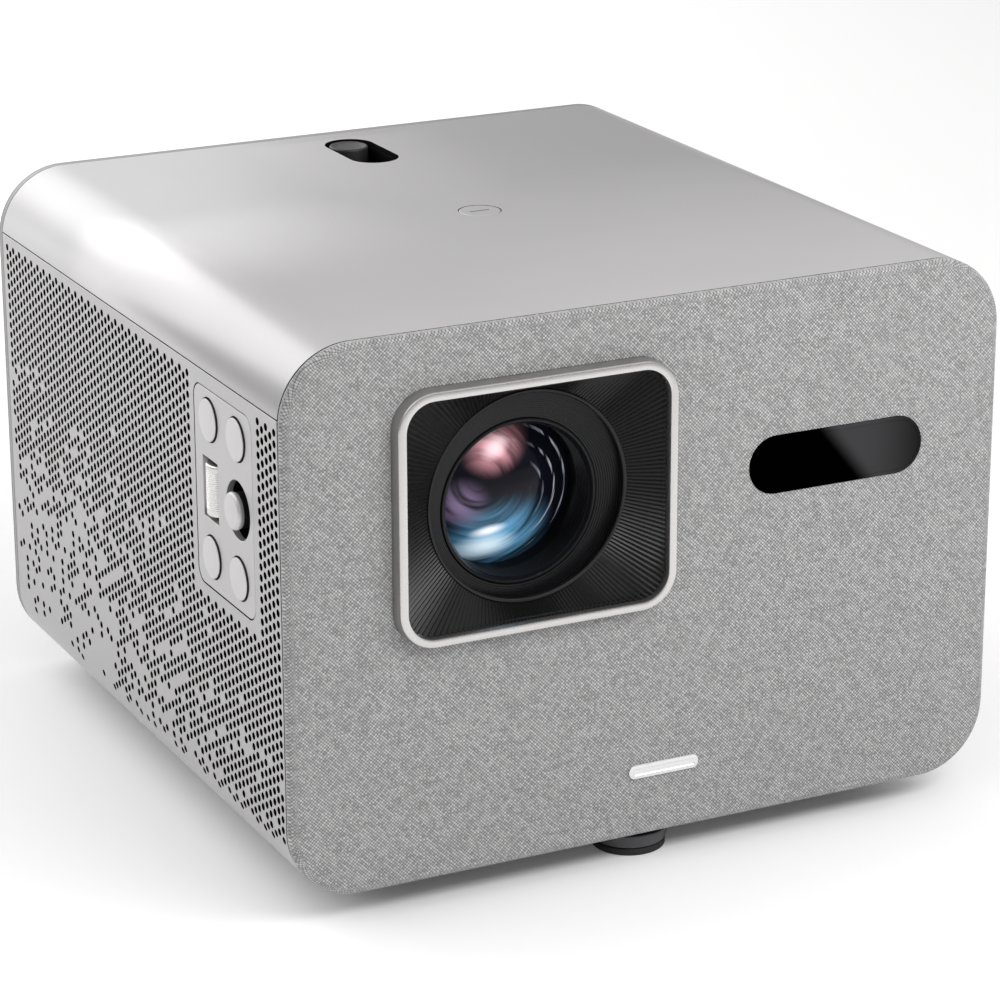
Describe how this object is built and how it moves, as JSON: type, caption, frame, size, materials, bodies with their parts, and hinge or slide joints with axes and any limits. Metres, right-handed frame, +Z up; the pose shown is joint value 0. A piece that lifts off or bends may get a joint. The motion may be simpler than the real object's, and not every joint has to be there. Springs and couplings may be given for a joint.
{
  "type": "home projector",
  "caption": "Box-shaped home projector with a fabric front, round-edged perforated shell, framed lens, side control panel and a screw foot.",
  "frame": {"origin": "middle of the footprint, on the surface that the feet stand on", "axes": "-Y is the way the lens points, +X is the right-hand side seen from the front, +Z is up"},
  "size_m": [0.2627, 0.266, 0.1935],
  "materials": {
    "cover_silver": "satin silver",
    "grille_silver": "satin silver, perforated",
    "base_black": "fine grain",
    "rear_black": "fine grain",
    "frame_black": "matte",
    "fabric_grey": "heather weave",
    "bezel_silver": "satin, bright edges",
    "shroud_black": "satin, fine radial ribs",
    "barrel_black": "satin",
    "lens_glass": "coated",
    "window_black": "high gloss",
    "badge_silver": "satin",
    "button_silver": "satin silver",
    "wheel_silver": "satin, ribbed",
    "light_strip": "diffuse",
    "slider_grey": "satin",
    "tray_black": "matte",
    "rubber_black": "matte",
    "foot_grey": "satin",
    "brass": "machined",
    "gear_plastic": "moulded",
    "steel": "plain",
    "alloy": "cast",
    "fin_aluminium": "plain",
    "copper": "plain copper",
    "circuit_board": "solder mask",
    "fan_black": "moulded",
    "socket_metal": "plated",
    "socket_black": "moulded",
    "speaker_black": "moulded",
    "cone_paper": "matte"
  },
  "bodies": {
    "housing": {"top_cover": "cover_silver", "left_grille": "grille_silver", "right_grille": "grille_silver", "base_pan": "base_black", "rear_panel": "rear_black", "front_frame": "frame_black", "front_fabric": "fabric_grey", "lens_bezel": "bezel_silver", "lens_shroud": "shroud_black", "sensor_window": "window_black", "badge": "badge_silver", "lens_barrel": "barrel_black", "front_lens": "lens_glass", "focus_motor": "steel", "light_engine": "alloy", "chip_board": "circuit_board", "light_modules": "copper", "heat_sink": "fin_aluminium", "heat_pipes": "copper", "intake_fan_frame": "fan_black", "exhaust_fan_frame": "fan_black", "mainboard": "circuit_board", "hdmi_sockets": "socket_metal", "usb_socket": "socket_metal", "audio_jack": "socket_black", "power_inlet": "socket_black", "power_supply": "circuit_board", "camera_module": "circuit_board", "wireless_module": "circuit_board", "speaker_boxes": "speaker_black", "speaker_drivers": "cone_paper", "control_plate": "grille_silver", "keypad_board": "circuit_board", "nav_housing": "tray_black", "wheel_bracket": "socket_black", "slider_tray": "tray_black", "foot_bushing": "brass", "rear_feet": "rubber_black", "tripod_insert": "brass", "mount_inserts": "brass", "base_screws": "steel"},
    "power_button": {"power_button": "cover_silver", "power_light": "light_strip"},
    "button_upper_rear": {"button_upper_rear": "button_silver"},
    "button_upper_front": {"button_upper_front": "button_silver"},
    "button_lower_rear": {"button_lower_rear": "button_silver"},
    "button_lower_front": {"button_lower_front": "button_silver"},
    "nav_gimbal": {"nav_gimbal": "steel"},
    "nav_stem": {"nav_stem": "steel"},
    "nav_knob": {"nav_knob": "button_silver"},
    "thumb_wheel": {"thumb_wheel": "wheel_silver"},
    "slider": {"slider_knob": "slider_grey"},
    "foot_pad": {"front_foot_pad": "rubber_black"},
    "foot_screw": {"front_foot_screw": "foot_grey"},
    "focus_ring": {"focus_ring": "gear_plastic"},
    "focus_pinion": {"focus_pinion": "brass"},
    "focus_cell": {"focus_cell": "alloy", "focus_lens": "lens_glass"},
    "intake_rotor": {"intake_fan_rotor": "fan_black"},
    "exhaust_rotor": {"exhaust_fan_rotor": "fan_black"}
  },
  "joints": [
    {"name": "power_press", "type": "slide", "parent": "housing", "child": "power_button", "axis": [0, 0, -1], "range_m": [0, 0.0006], "stiffness_N_per_m": 600},
    {"name": "upper_rear_press", "type": "slide", "parent": "housing", "child": "button_upper_rear", "axis": [1, 0, 0], "range_m": [0, 0.0008], "stiffness_N_per_m": 600},
    {"name": "upper_front_press", "type": "slide", "parent": "housing", "child": "button_upper_front", "axis": [1, 0, 0], "range_m": [0, 0.0008], "stiffness_N_per_m": 600},
    {"name": "lower_rear_press", "type": "slide", "parent": "housing", "child": "button_lower_rear", "axis": [1, 0, 0], "range_m": [0, 0.0008], "stiffness_N_per_m": 600},
    {"name": "lower_front_press", "type": "slide", "parent": "housing", "child": "button_lower_front", "axis": [1, 0, 0], "range_m": [0, 0.0008], "stiffness_N_per_m": 600},
    {"name": "nav_tilt_up_down", "type": "hinge", "parent": "housing", "child": "nav_gimbal", "pos_m": [-0.118, -0.0905, 0.132], "axis": [0, 1, 0], "range_deg": [-5, 5], "stiffness_Nm_per_rad": 0.1},
    {"name": "nav_tilt_fore_aft", "type": "hinge", "parent": "nav_gimbal", "child": "nav_stem", "pos_m": [-0.118, -0.0905, 0.132], "axis": [0, 0, 1], "range_deg": [-5, 5], "stiffness_Nm_per_rad": 0.1},
    {"name": "nav_press", "type": "slide", "parent": "nav_stem", "child": "nav_knob", "axis": [1, 0, 0], "range_m": [0, 0.0006], "stiffness_N_per_m": 600},
    {"name": "wheel_turn", "type": "hinge", "parent": "housing", "child": "thumb_wheel", "pos_m": [-0.1251, -0.0678, 0.132], "axis": [0, 0, 1], "continuous": true},
    {"name": "slider_travel", "type": "slide", "parent": "housing", "child": "slider", "axis": [0, -1, 0], "range_m": [0, 0.0215]},
    {"name": "foot_lift", "type": "slide", "parent": "housing", "child": "foot_pad", "axis": [0, 0, -1], "range_m": [0, 0.0101]},
    {"name": "foot_turn", "type": "hinge", "parent": "foot_pad", "child": "foot_screw", "pos_m": [0, -0.111, 0], "axis": [0, 0, -1], "range_deg": [0, 2880]},
    {"name": "focus_turn", "type": "hinge", "parent": "housing", "child": "focus_ring", "pos_m": [-0.0443, -0.1, 0.1301], "axis": [0, 1, 0], "range_deg": [0, 90]},
    {"name": "pinion_turn", "type": "hinge", "parent": "housing", "child": "focus_pinion", "pos_m": [-0.00424, -0.1, 0.1301], "axis": [0, 1, 0], "range_deg": [-430, 5]},
    {"name": "focus_travel", "type": "slide", "parent": "housing", "child": "focus_cell", "axis": [0, 1, 0], "range_m": [0, 0.00302]},
    {"name": "intake_spin", "type": "hinge", "parent": "housing", "child": "intake_rotor", "pos_m": [-0.123, 0.062, 0.0935], "axis": [1, 0, 0], "continuous": true},
    {"name": "exhaust_spin", "type": "hinge", "parent": "housing", "child": "exhaust_rotor", "pos_m": [0.108, -0.02, 0.0965], "axis": [1, 0, 0], "continuous": true}
  ],
  "couplings": [
    {"joint": "foot_lift", "follows": "foot_turn", "m_per_rad": 0.00019894},
    {"joint": "pinion_turn", "follows": "focus_turn", "ratio": -4.7143},
    {"joint": "focus_travel", "follows": "focus_turn", "m_per_rad": 0.0019099}
  ]
}
